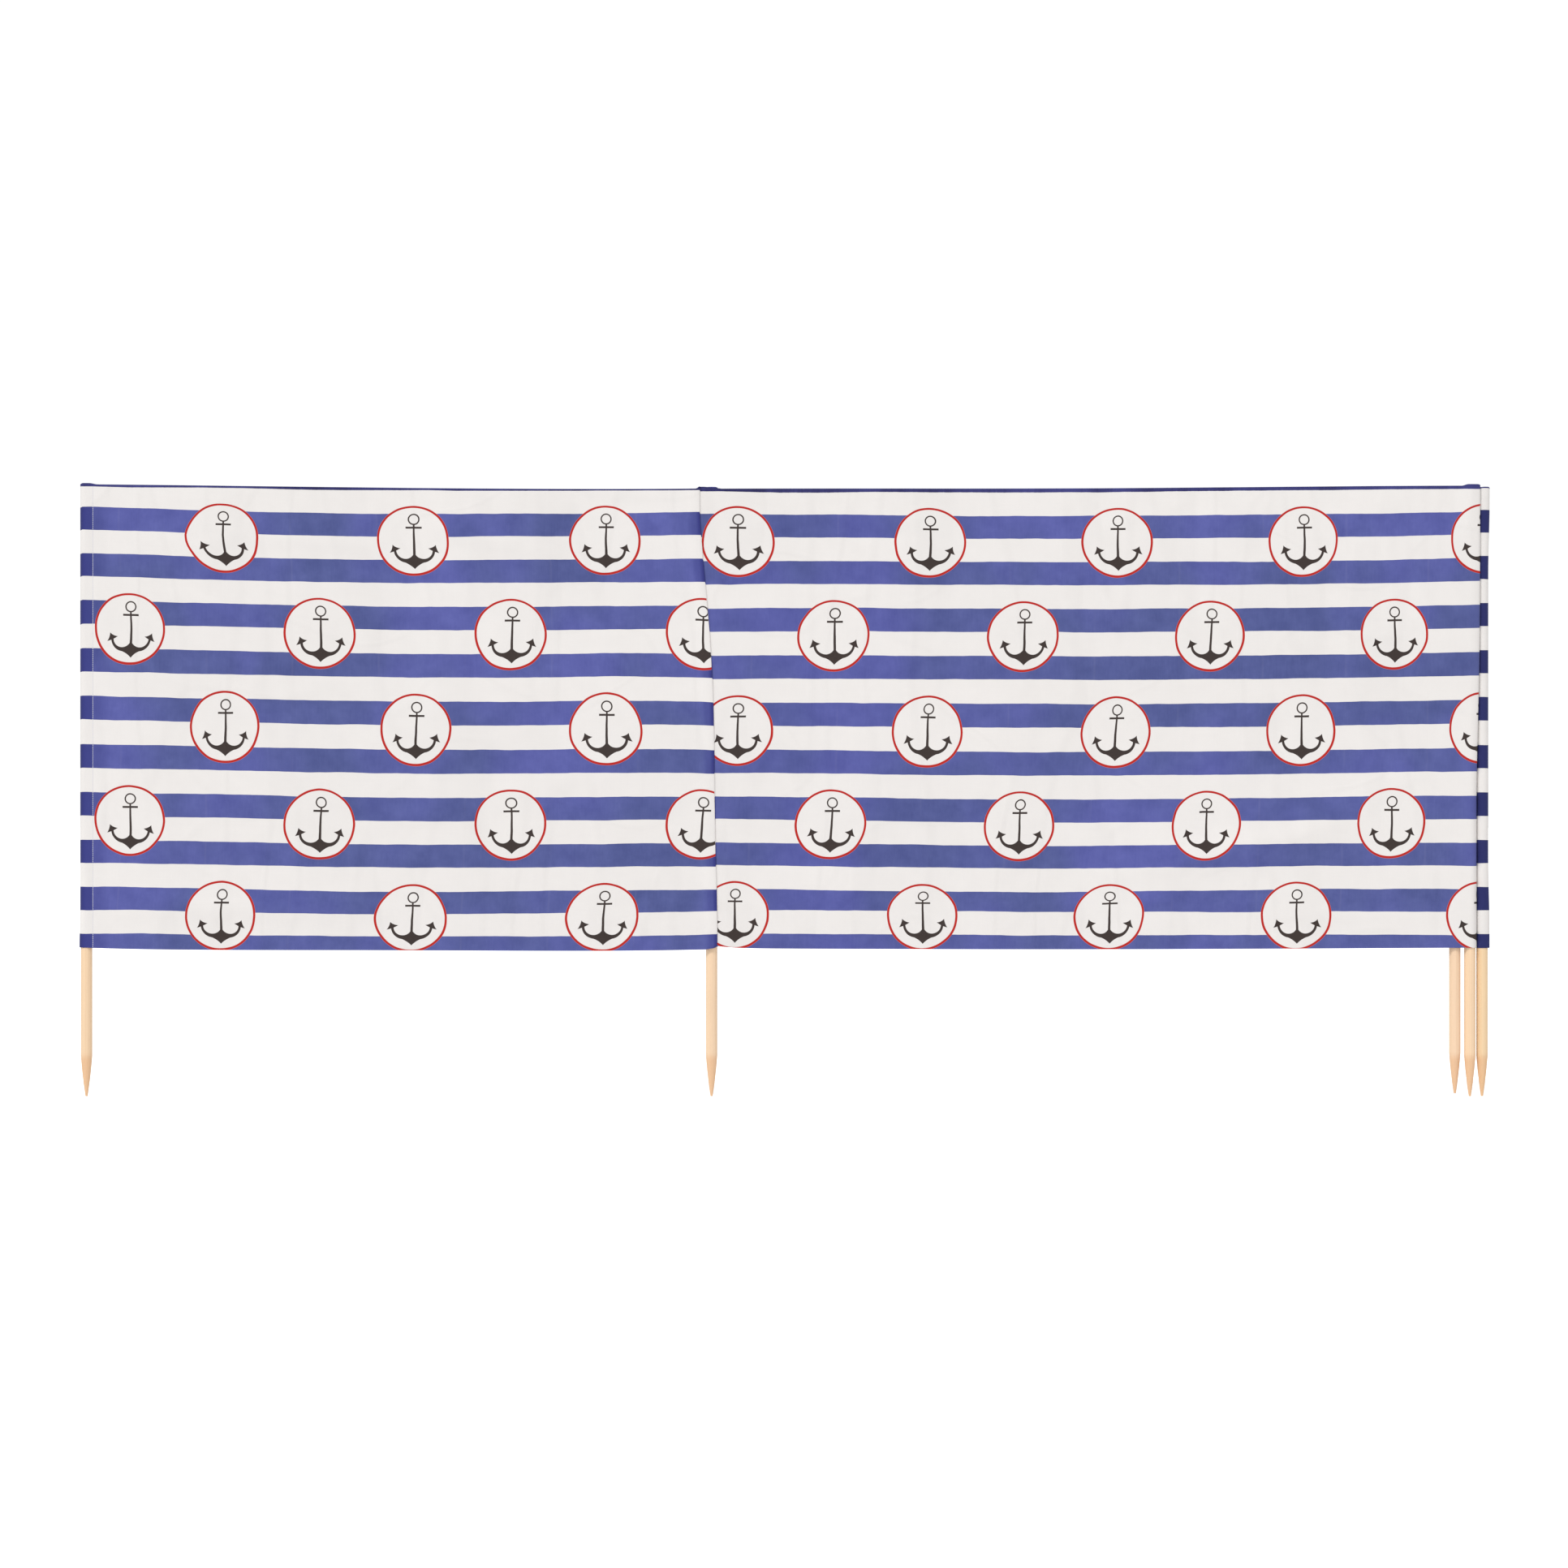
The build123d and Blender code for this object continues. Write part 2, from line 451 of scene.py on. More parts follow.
# Growth rings and fibres of a pine dowel. The rings are centred on a pith outside it
def make_pine_group():
    tree, given, end = new_group("pine_grain", ["Ring", "Fibre", "Blotch"], Pith_X=0.05, Pith_Y=0.02)
    x, y, z = parts_of(given["Place"])
    sway = noise(vector(x * 4.0, y * 4.0, z * 1.3), 1.0, 1.0)
    from_pith = length(x - given["Pith X"], y - given["Pith Y"]) + (sway - 0.5) * 0.012
    years = noise(vector(from_pith * 260.0, z * 0.2), 1.0, 2.0)
    turns = maths("FRACT", (from_pith + (years - 0.5) * 0.009) / ring_pitch)
    ring = ramp(turns, 0.0, 0.75) * ramp(turns, 0.82, 1.0, 1.0, 0.0)
    fibre = noise(vector(x * 1400.0, y * 1400.0, z * 22.0), 1.0, 2.0)
    blotch = noise(vector(x * 30.0, y * 30.0, z * 9.0), 1.0, 2.0)
    return close_group(tree, end, Ring=ring, Fibre=fibre, Blotch=blotch)


print_group = make_print_group()
weave_group = make_weave_group()
pine_group = make_pine_group()


def new_material(name, roughness, sheen=0.0):
    material = bpy.data.materials.new(name)
    material.use_nodes = True
    tree = material.node_tree
    surface = tree.nodes["Principled BSDF"]
    surface.inputs["Roughness"].default_value = roughness
    surface.inputs["Specular IOR Level"].default_value = 0.12
    surface.inputs["Sheen Weight"].default_value = sheen
    surface.inputs["Sheen Roughness"].default_value = 0.5
    return material, tree, surface


def named_map(tree, name):
    made = tree.nodes.new("ShaderNodeUVMap")
    made.uv_map = name
    return Signal(made.outputs[0])


def object_place(tree):
    made = tree.nodes.new("ShaderNodeTexCoord")
    return Signal(made.outputs["Object"])


def point_value(tree, name):
    made = tree.nodes.new("ShaderNodeAttribute")
    made.attribute_name = name
    return Signal(made.outputs["Fac"])


# A colour made a little lighter or darker
def shaded(colour, shade):
    return mix_colour(1.0, colour, vector(shade, shade, shade), "MULTIPLY")


def bump(tree, surface, height, distance, strength=1.0, under=None):
    made = tree.nodes.new("ShaderNodeBump")
    made.inputs["Strength"].default_value = strength
    made.inputs["Distance"].default_value = distance
    connect(tree, height, made.inputs["Height"])
    if under is not None:
        connect(tree, under, made.inputs["Normal"])
    tree.links.new(made.outputs[0], surface.inputs["Normal"])
    return Signal(made.outputs[0])


white_cloth = seen_as(241, 237, 234)
thin_blue_ink = (seen_as(99, 108, 166), seen_as(99, 104, 174))
full_blue_ink = (seen_as(81, 90, 146), seen_as(81, 86, 156))
# Painted shade: darker blues for the cloth turned round the stakes and at the seam's lap
half_shade_blue = seen_as(60, 64, 134)
full_shade_blue = seen_as(47, 51, 105)
dark_edge = seen_as(46, 45, 90)
pale_edge = seen_as(70, 71, 132)
red_ink = seen_as(192, 43, 37)
dark_ink = seen_as(66, 57, 54)


# Printed side: ink on white cloth, with painted shade deepening the blue where the cloth lies over a stake
# and at the seam's lap
def make_printed_cloth():
    material, tree, surface = new_material("printed_cloth", 0.75, 0.04)
    at = named_map(tree, "cloth")
    ink = use_group(tree, print_group, Place=at)
    weave = use_group(tree, weave_group, Place=at)
    painted_shade = point_value(tree, "painted_shade")
    full, thin = (mix_colour(weave["Wide"], *inks) for inks in (full_blue_ink, thin_blue_ink))
    blue = mix_colour(weave["Mottle"], full, thin)
    # Along the packet's fold lines the blue turns a little paler
    blue = mix_colour(weave["Fold"] * 0.02, blue, white_cloth)
    # Painted shade: the blue darkens in two steps where the cloth lies over a stake, at the seam's lap and
    # beside the end stitches
    blue = mix_colour(least(painted_shade * 2.0, 1.0), blue, half_shade_blue)
    blue = mix_colour(most(painted_shade * 2.0 - 1.0, 0.0), blue, full_shade_blue)
    colour = mix_colour(ink["Blue"], white_cloth, blue)
    colour = mix_colour(ink["Red"], colour, red_ink)
    colour = mix_colour(ink["Dark"], colour, dark_ink)
    # The blue border, turned to the back, of which a narrow line shows along the top
    below_edge = point_value(tree, "below_edge") + (weave["Mottle"] - 0.5) * 0.15
    border = mix_colour(weave["Mottle"], dark_edge, pale_edge)
    colour = mix_colour(ramp(below_edge, 1.08, 0.92), colour, border)
    # Random tone, with painted shade in the soft creases and a faint painted shade along the fold lines
    shade = 1.0 + weave["Tone"] * 0.20 - weave["Crease"] * 0.02 - weave["Fold"] * 0.005
    connect(tree, shaded(colour, shade), surface.inputs["Base Color"])
    connect(tree, 0.72 + weave["Tone"] * 0.3, surface.inputs["Roughness"])
    soft = bump(tree, surface, weave["Crease"], 0.0008, 0.5)
    bump(tree, surface, weave["Height"], 0.00008, 0.35, soft)
    arrange(tree)
    return material


# Unprinted side: the print shows through the thin cloth
def make_cloth_back():
    material, tree, surface = new_material("cloth_back", 0.8, 0.04)
    at = named_map(tree, "cloth")
    ink = use_group(tree, print_group, Place=at)
    weave = use_group(tree, weave_group, Place=at)
    colour = mix_colour(ink["Blue"] * 0.62, seen_as(236, 233, 230), seen_as(116, 120, 172))
    colour = mix_colour(ink["Red"] * 0.55, colour, seen_as(222, 120, 112))
    colour = mix_colour(ink["Dark"] * 0.60, colour, seen_as(120, 114, 116))
    # Random tone, with painted shade in the soft creases
    shade = 1.0 + weave["Tone"] * 0.35 - weave["Crease"] * 0.015
    connect(tree, shaded(colour, shade), surface.inputs["Base Color"])
    connect(tree, 0.78 + weave["Tone"] * 0.3, surface.inputs["Roughness"])
    soft = bump(tree, surface, weave["Crease"], -0.0008, 0.5)
    bump(tree, surface, weave["Height"], 0.00008, 0.35, soft)
    arrange(tree)
    return material


# Turned hems and pocket tops: the same cloth, all blue
def make_blue_hem():
    material, tree, surface = new_material("blue_hem", 0.75, 0.04)
    at = named_map(tree, "cloth")
    weave = use_group(tree, weave_group, Place=at)
    shade = 1.0 + weave["Tone"] * 0.5
    connect(tree, shaded(seen_as(62, 64, 130), shade), surface.inputs["Base Color"])
    connect(tree, 0.75 + weave["Tone"] * 0.3, surface.inputs["Roughness"])
    bump(tree, surface, weave["Height"], 0.00012, 0.5)
    arrange(tree)
    return material


def make_pine(number, pith, pale, ring_tone):
    material, tree, surface = new_material(f"pine_{number}", 0.55)
    at = object_place(tree)
    grain = use_group(tree, pine_group, Place=at, Pith_X=pith[0], Pith_Y=pith[1])
    _, _, z = parts_of(at)
    tapered = ramp(z, 0.078, 0.060)
    colour = mix_colour(grain["Ring"] * 0.30, pale, ring_tone)
    colour = mix_colour(tapered * 0.55, colour, seen_as(236, 184, 138))
    shade = 1.0 + (grain["Fibre"] - 0.5) * 0.10 + (grain["Blotch"] - 0.5) * 0.10
    connect(tree, shaded(colour, shade), surface.inputs["Base Color"])
    connect(tree, 0.55 + (grain["Fibre"] - 0.5) * 0.2, surface.inputs["Roughness"])
    bump(tree, surface, grain["Fibre"] * 0.6 + grain["Ring"] * 0.4, 0.0002, 0.5)
    arrange(tree)
    return material


def make_thread():
    material, tree, surface = new_material("sewing_thread", 0.6, 0.2)
    ply = noise(object_place(tree), 2500.0, 1.0)
    colour = mix_colour(ply, seen_as(214, 214, 226), seen_as(240, 240, 244))
    connect(tree, colour, surface.inputs["Base Color"])
    bump(tree, surface, ply, 0.0001, 0.6)
    arrange(tree)
    return material


printed_cloth = make_printed_cloth()
cloth_back = make_cloth_back()
blue_hem = make_blue_hem()
sewing_thread = make_thread()


# A sheet seen from above is a belt: straight runs that leave and meet circles at a tangent.
# A stop is (centre, radius, turn), and the belt turns LEFT or RIGHT round it.
def point(x, y):
    return ((x, y), 0.0, LEFT)


def heading(first, second):
    (start, r1, turn1), (end, r2, turn2) = first, second
    dx, dy = end[0] - start[0], end[1] - start[1]
    return atan2(dy, dx) - asin((turn2 * r2 - turn1 * r1) / hypot(dx, dy))


def touch(stop, angle):
    (x, y), r, turn = stop
    return (x + turn * r * sin(angle), y - turn * r * cos(angle))


# Points along a belt, a step apart on its runs and a few degrees apart on its bends
def walk(stops, step, degrees_apart=12.0):
    found = []
    angles = [heading(a, b) for a, b in zip(stops, stops[1:])]
    for number, (first, second) in enumerate(zip(stops, stops[1:])):
        start, end = touch(first, angles[number]), touch(second, angles[number])
        reach = hypot(end[0] - start[0], end[1] - start[1])
        count = max(1, round(reach / step))
        for share in range(count):
            found.append((
                start[0] + (end[0] - start[0]) * share / count,
                start[1] + (end[1] - start[1]) * share / count,
            ))
        found.append(end)
        if number + 1 < len(angles) and second[1] > 0:
            turn = second[2]
            sweep = ((angles[number + 1] - angles[number]) * turn) % (2 * pi)
            count = max(1, round(sweep / radians(degrees_apart)))
            for share in range(1, count):
                found.append(touch(second, angles[number] + turn * sweep * share / count))
    return found


# How far a value has come on its way from start to end, from 0 to 1
def part_way(value, start, end):
    return np.clip((value - start) / (end - start), 0, 1)


# The same, but leaving and arriving gently
def smooth_step(value, start, end):
    share = part_way(value, start, end)
    return share * share * (3 - 2 * share)


# 1 in the middle, falling away smoothly on both sides
def hump(value, middle, half_width):
    return np.exp(-((value - middle) / half_width) ** 2)


# A smooth line of heights through a few places along the cloth
def heights(places, degree):
    xs, zs = zip(*places)
    return np.polynomial.Polynomial.fit(xs, zs, degree)


# The edges of the spread bays, as places along the cloth and heights
left_top = heights([(-1.09, 1.0562), (-0.93, 1.0546), (-0.54, 1.0500), (-0.15, 1.0480), (0.01, 1.0490)], 4)
left_bottom = heights([
    (-1.09, 0.2570), (-0.98, 0.2540), (-0.71, 0.2523), (-0.37, 0.2513), (-0.10, 0.2518), (0.01, 0.2540),
], 5)
right_top = heights([(-0.02, 1.0484), (0.18, 1.0488), (0.66, 1.0493), (1.13, 1.0529), (1.33, 1.0537)], 4)
right_bottom = heights([(0.00, 0.2552), (0.19, 0.2547), (0.66, 0.2538), (1.14, 0.2557), (1.33, 0.2565)], 4)

# Where the first and the tenth blue stripe start, which sag between the stakes
left_first = heights([
    (-1.08, 1.0172), (-0.98, 1.0148), (-0.70, 1.0063), (-0.37, 1.0052), (-0.09, 1.0070), (0.01, 1.0093),
], 5)
left_tenth = heights([
    (-1.08, 0.2806), (-0.98, 0.2810), (-0.70, 0.2770), (-0.37, 0.2762), (-0.09, 0.2772), (0.01, 0.2801),
], 5)
right_first = heights([
    (-0.03, 1.0053), (0.10, 1.0046), (0.44, 1.0012), (0.86, 1.0028), (1.20, 1.0064), (1.33, 1.0093),
], 5)
right_tenth = heights([(-0.03, 0.2806), (0.17, 0.2801), (0.65, 0.2775), (1.13, 0.2796), (1.33, 0.2770)], 4)

# Bow is how far the middle stripes hang below an even spacing. Sway is how far the lower stripes
# hang below it and the upper ones stand above it
left_bow = heights([
    (-1.08, -0.0010), (-0.98, 0.0001), (-0.70, -0.0004), (-0.37, 0.0016), (-0.09, 0.0012), (0.01, 0.0065),
], 5)
left_sway = heights([(-1.08, 0.0018), (-0.81, 0.0027), (-0.26, 0.0026), (0.01, 0.0023)], 3)
right_bow = heights([(-0.03, 0.0050), (0.17, 0.0037), (0.65, 0.0039), (1.13, 0.0025), (1.33, -0.0001)], 4)
right_sway = heights([(-0.03, -0.0005), (0.31, 0.0031), (0.99, 0.0023), (1.33, 0.0023)], 3)

# Which column of roundels stands where along the top row, and how far the rows below lean to the right
left_columns = heights([(-1.0063, 0.5), (-0.6794, 1.5), (-0.3495, 2.5), (-0.0198, 3.5)], 3)
left_lean = heights([(0, -0.0006), (0.25, 0.0030), (0.5, 0.0030), (0.75, 0.0025), (1, -0.0046)], 4)
right_columns = heights([(0.0462, 4.0), (0.3754, 5.0), (1.0204, 7.0), (1.3332, 8.0)], 3)

# The edge of the first bay, where it laps over the second at the second stake
lap_corner = 0.0055
lap_corner_top = 0.2605
seam_low, seam_high = 0.256, 1.051
seam_line = heights([
    (seam_low, 0.0098), (0.332, 0.0094), (0.531, 0.0054),
    (0.776, -0.0015), (0.975, -0.0184), (seam_high, -0.0197),
], 5)


def seam_x(z):
    # The edge of the lap curves in at its lower corner
    low = part_way(z, lap_corner_top, lap_corner_top - lap_corner)
    return seam_line(np.clip(z, seam_low, seam_high)) - lap_corner * (1 - np.sqrt(1 - low * low))


seam_middle = float(seam_x(0.62))


def stripe_count(z, first, tenth, bow, sway):
    along = (first - z) / (first - tenth)
    return 1 + 9 * along + (sway * np.sin(2 * pi * along) - bow * np.sin(pi * along)) / stripe_pitch


# Where a point of the spread bays lies on the print, in metres
def print_place(x, z, second_bay):
    along = np.clip(x, -1.079, 1.328)
    lines = [
        (left_first, right_first), (left_tenth, right_tenth), (left_bow, right_bow), (left_sway, right_sway),
    ]
    stripes = stripe_count(z, *(np.where(second_bay, right(along), left(along)) for left, right in lines))
    # Along the ninth stripe the second bay is drawn together a little, and the first bay hangs lower
    past_ninth = stripes - 9.25
    drawn = 0.172 * hump(x, 0.42, 0.40) * past_ninth - 0.038 * hump(x, -0.60, 0.22)
    stripes = stripes + drawn * hump(past_ninth, 0, 0.45)
    # From the first row of roundels to the fifth
    down = part_way(stripes, 1.57, 9.57)
    right_lean = -0.0154 * down ** 2 * (0.35 + 0.65 * np.sin(pi * part_way(x, -0.037, 1.377)))
    # A crease pulls the first roundel askew
    askew = 0.0034 * hump(z, 0.926, 0.024) * hump(x, -0.845, 0.09)
    askew = askew - 0.0030 * hump(z, 0.968, 0.020) * hump(x, -0.905, 0.045)
    columns = np.where(second_bay, right_columns(x - right_lean), left_columns(x - left_lean(down) - askew))
    return columns * column_pitch, (stripes_in_all - stripes) * stripe_pitch


# Long soft folds where the cloth drags at its stakes: both ends, half width and how far they stand out
drag_folds = [
    ((-1.08, 0.327), (-0.50, 0.322), 0.019, 0.0043),
    ((-0.98, 0.895), (-0.74, 0.795), 0.015, 0.0027),
    ((-0.86, 0.968), (-0.54, 0.950), 0.013, 0.0022),
    ((-0.52, 0.992), (-0.24, 0.928), 0.014, 0.0029),
    ((-0.42, 0.500), (-0.03, 0.590), 0.022, 0.0022),
    ((1.30, 0.590), (0.96, 0.435), 0.026, 0.0054),
    ((1.20, 0.480), (0.62, 0.372), 0.026, 0.0054),
    ((1.28, 0.312), (0.98, 0.318), 0.013, 0.0025),
    ((1.08, 0.760), (1.29, 0.850), 0.017, 0.0032),
    ((0.98, 0.870), (1.22, 0.940), 0.018, 0.0018),
]


def drag(x, z):
    out = 0.0
    for (x1, z1), (x2, z2), half_width, rise in drag_folds:
        reach = hypot(x2 - x1, z2 - z1)
        along = ((x - x1) * (x2 - x1) + (z - z1) * (z2 - z1)) / reach ** 2
        across = ((x - x1) * (z2 - z1) - (z - z1) * (x2 - x1)) / reach
        out = out + rise * hump(across, 0, half_width) * np.sin(pi * np.clip(along, 0, 1))
    return out


# How far the slack cloth stands back from its flat plane, nothing beside the stakes
def slack(x, z):
    up = (z - bare_stake) / cloth_height
    first = part_way(x, stakes[1][0], -0.05)
    second = part_way(x, 0.05, stakes[4][0] - 0.03)
    hold = np.sin(pi * first) ** 0.6 + np.sin(pi * second) ** 0.6
    # Slanted waves along the cloth: height in mm, waves along, waves up and start
    slanted = [(1.5, 9.0, 1.3, 0.4), (0.9, 21.0, -2.2, 1.1), (0.5, 47.0, 1.7, 0.0), (0.5, 13.0, 5.0, 2.0)]
    waves = sum(tall * np.sin(along * x + slant * up + start) for tall, along, slant, start in slanted)
    return hold * (0.001 * waves - drag(x, z))


# Where the rows of a sheet lie, as shares of its height: close together in the hems, even between them
def row_shares(count):
    edges_low = [0.0, 0.0012, 0.0040, 0.0085, 0.0098, 0.0125]
    edges_high = [0.0125, 0.0092, 0.0080, 0.0040, 0.0012, 0.0]
    low = [e / cloth_height for e in edges_low]
    high = [1 - e / cloth_height for e in edges_high]
    middle = np.linspace(low[-1], high[0], count)[1:-1]
    return np.array(low + list(middle) + high)


# A sheet of cloth with its thickness, from its printed face's points in rows and columns.
# hem_share says how much of their thickness its hems have, border is the width of the blue line
# along its top, and top is the height of that line where the sheet's own edge rises past it
def make_sheet(name, points, uv, painted_shade, hem_share, border, top=None):
    rows, columns = points.shape[:2]
    top = points[-1, :, 2] if top is None else top
    below_edge = (top - points[:, :, 2]) / border
    along = np.gradient(points, axis=1)
    up = np.gradient(points, axis=0)
    facing = np.cross(along, up)
    facing /= np.linalg.norm(facing, axis=2, keepdims=True)
    points = points + facing * (shown_thickness / 2)

    mesh = bpy.data.meshes.new(name)
    corner = np.arange(rows * columns).reshape(rows, columns)
    faces = np.stack([corner[:-1, :-1], corner[:-1, 1:], corner[1:, 1:], corner[1:, :-1]], axis=-1)
    faces = faces.reshape(-1, 4)
    mesh.from_pydata(points.reshape(-1, 3).tolist(), [], faces.tolist())
    layer = mesh.uv_layers.new(name="cloth")
    layer.data.foreach_set("uv", uv.reshape(-1, 2)[faces.ravel()].astype(np.float32).ravel())
    # The first attribute carries painted shade for the blue ink, the second the height below the top edge in
    # border widths
    for label, values in (("painted_shade", painted_shade), ("below_edge", np.clip(below_edge, -5, 5))):
        attribute = mesh.attributes.new(label, "FLOAT", "POINT")
        values = np.broadcast_to(values, (rows, columns)).astype(np.float32)
        attribute.data.foreach_set("value", values.ravel())

    sheet = bpy.data.objects.new(name, mesh)
    scene.collection.objects.link(sheet)
    # Front and back of the cloth, then of its hems
    for material in (printed_cloth, cloth_back, printed_cloth, blue_hem):
        mesh.materials.append(material)
    from_bottom = (points[:, :, 2] - points[0, :, 2]).ravel()
    from_top = (points[-1, :, 2] - points[:, :, 2]).ravel()
    in_hem = (from_bottom < bottom_hem - hem_edge) | (from_top < top_hem - hem_edge)
    group = sheet.vertex_groups.new(name="hem")
    thin = shown_thickness / hem_thickness
    hem_weight = np.broadcast_to(np.round(thin + (1 - thin) * hem_share, 2), (rows, columns)).ravel()
    for weight in np.unique(hem_weight):
        group.add(np.flatnonzero(in_hem & (hem_weight == weight)).tolist(), float(weight), "REPLACE")
    group.add(np.flatnonzero(~in_hem).tolist(), thin, "REPLACE")
    hem_face = in_hem[faces].all(axis=1)
    mesh.polygons.foreach_set("material_index", np.where(hem_face, 2, 0).astype(np.int32))
    mesh.polygons.foreach_set("use_smooth", np.ones(len(faces), bool))

    bpy.ops.object.select_all(action="DESELECT")
    sheet.select_set(True)
    bpy.context.view_layer.objects.active = sheet
    solidify = sheet.modifiers.new("thickness", "SOLIDIFY")
    solidify.thickness = hem_thickness
    solidify.offset = -1
    solidify.vertex_group = "hem"
    solidify.material_offset = 1
    solidify.use_even_offset = False
    bpy.ops.object.modifier_apply(modifier="thickness")
    sheet.vertex_groups.clear()
    bpy.ops.object.shade_smooth_by_angle(angle=radians(50))
    sheet.select_set(False)
    return sheet


# How far along the cloth each place of its plan lies
def length_along(x0, y0):
    return np.concatenate([[0], np.cumsum(np.hypot(np.diff(x0), np.diff(y0)))])


# Half-way between the third and fourth stakes, where the front sheet ends and the folded one begins
def between_3_and_4():
    around_3 = (stakes[3], main_mid, LEFT)
    over_4 = (stakes[4], over_mid, RIGHT)
    angle = heading(around_3, over_4)
    leave, arrive = touch(around_3, angle), touch(over_4, angle)
    return point((leave[0] + arrive[0]) / 2, (leave[1] + arrive[1]) / 2)


# The seam at the second stake, as offsets from its edge and distances in front of the flat cloth:
# the first bay laps over, turns back and lies under again
tuck = [
    (-0.0520, 0.0000), (-0.0440, 0.0001), (-0.0360, 0.0003), (-0.0290, 0.0006), (-0.0230, 0.0010),
    (-0.0180, 0.0017), (-0.0145, 0.0024), (-0.0110, 0.0028), (-0.0075, 0.0029), (-0.0045, 0.0028),
    (-0.0022, 0.0025), (-0.0007, 0.0020), (0.0000, 0.0014), (-0.0006, 0.0009), (-0.0022, 0.0007),
    (-0.0060, 0.0007), (-0.0100, 0.0007), (-0.0118, 0.00035), (-0.0100, 0.0000), (-0.0060, 0.0000),
    (-0.0020, 0.0000), (0.0020, 0.0000), (0.0070, 0.0000), (0.0130, 0.0000), (0.0200, 0.0000),
    (0.0280, 0.0000), (0.0370, 0.0000), (0.0460, 0.0000),
]
tuck_edge = tuck.index((0.0000, 0.0014))


# The spread bays seen from above: the first stake's pocket, the first bay, the seam and the second bay
def plan_front_bays():
    first = stakes[1]
    lap_y = front_mid + cloth_thickness
    lap_end = point(first[0] + hem_return + hem_lap, lap_y)
    lap = ((first[0] + hem_return, lap_y + lap_bend_radius), lap_bend_radius, RIGHT)
    round_1 = (first, sleeve_mid, LEFT)
    pocket = walk([lap_end, lap, round_1, point(first[0] + 0.020, front_mid)], 0.003)
    bay_1 = walk([point(first[0] + 0.023, front_mid), point(-0.060, front_mid)], 0.0095)
    seam = [(offset + seam_middle, front_mid - lift) for offset, lift in tuck]
    bend_from = point(1.280, front_mid)
    bay_2 = walk([point(0.056, front_mid), bend_from], 0.0095)[:-1]
    bend_3 = walk([bend_from, (stakes[3], main_mid, LEFT), between_3_and_4()], 0.0025, 9.0)
    return pocket, bay_1, seam, bay_2 + bend_3


# The spread cloth's lower edge, and its upper edge without and with its rises over the three stakes
def front_edges(x0, x_top, second_bay, on_lap):
    bottom_1 = left_bottom(np.clip(x0, -1.09, 0.01))
    # The lap's bottom edge rises towards its rounded corner
    bottom_1 = bottom_1 + 0.0020 * hump(x0, seam_middle, 0.0100) * on_lap
    bottom_2 = right_bottom(np.clip(x0, 0.0, 1.325)) + 0.0042 * np.exp(-np.clip(x0 - 0.010, 0, 2) / 0.030)
    bottom = np.where(second_bay, bottom_2, bottom_1)
    top_1 = left_top(np.clip(x_top, -1.09, 0.01))
    top_2 = right_top(np.clip(x_top, -0.02, 1.325))
    top = np.where(second_bay, top_2, top_1)
    rise_1 = smooth_step(x_top, -1.058, -1.074) - 0.8 * smooth_step(x_top, -1.0845, -1.0896)
    rise_2 = smooth_step(x_top, -0.0262, -0.0215) * (1 - smooth_step(x_top, -0.0090, -0.0020) * 0.65)
    rise_2 = rise_2 * smooth_step(x_top, 0.0170, 0.0110)
    rise_3 = smooth_step(x0, 1.2940, 1.3060) - 0.7 * smooth_step(x0, 1.3165, 1.3205)
    return bottom, top, top + 0.0022 * rise_1 + 0.0034 * rise_2 + 0.0028 * rise_3


# Painted shade on the blue ink where the cloth turns away round a stake, along the lap of the seam and
# beside the end pocket's stitches. The blue is also a little deeper over the first part of the second bay
def shade_on_blue(x0, in_pocket, past_stake_3, on_lap):
    depth = (0.44 + 0.40 * hump(x0, stakes[1][0] - sleeve_mid, 0.0060)) * in_pocket
    depth = depth * smooth_step(x0, stitch_line_x + 0.001, stitch_line_x - 0.001)
    depth = depth + 0.20 * hump(x0, stitch_line_x + 0.008, 0.016) * (x0 > stitch_line_x)
    depth = np.where(past_stake_3, 0.55, depth) + 0.06 * smooth_step(x0, 0.55, 0.25) * (x0 > 0.030)
    to_edge = x0 - seam_middle
    lap = (0.24 + 0.36 * smooth_step(to_edge, -0.009, 0.0)) * smooth_step(to_edge, -0.022, -0.012)
    return np.clip(depth + lap * on_lap, 0, 1)


# Width of the blue line along the top of each spread bay
left_border = [
    (-1.075, 0.0037), (-1.00, 0.0052), (-0.93, 0.0043), (-0.86, 0.0038), (-0.79, 0.0040), (-0.70, 0.0050),
    (-0.61, 0.0051), (-0.49, 0.0038), (-0.44, 0.0043), (-0.18, 0.0027), (-0.05, 0.0028),
]
right_border = [
    (0.02, 0.0046), (0.12, 0.0071), (0.19, 0.0072), (0.30, 0.0060), (0.54, 0.0075), (0.70, 0.0073),
    (0.80, 0.0063), (1.12, 0.0065), (1.29, 0.0060),
]


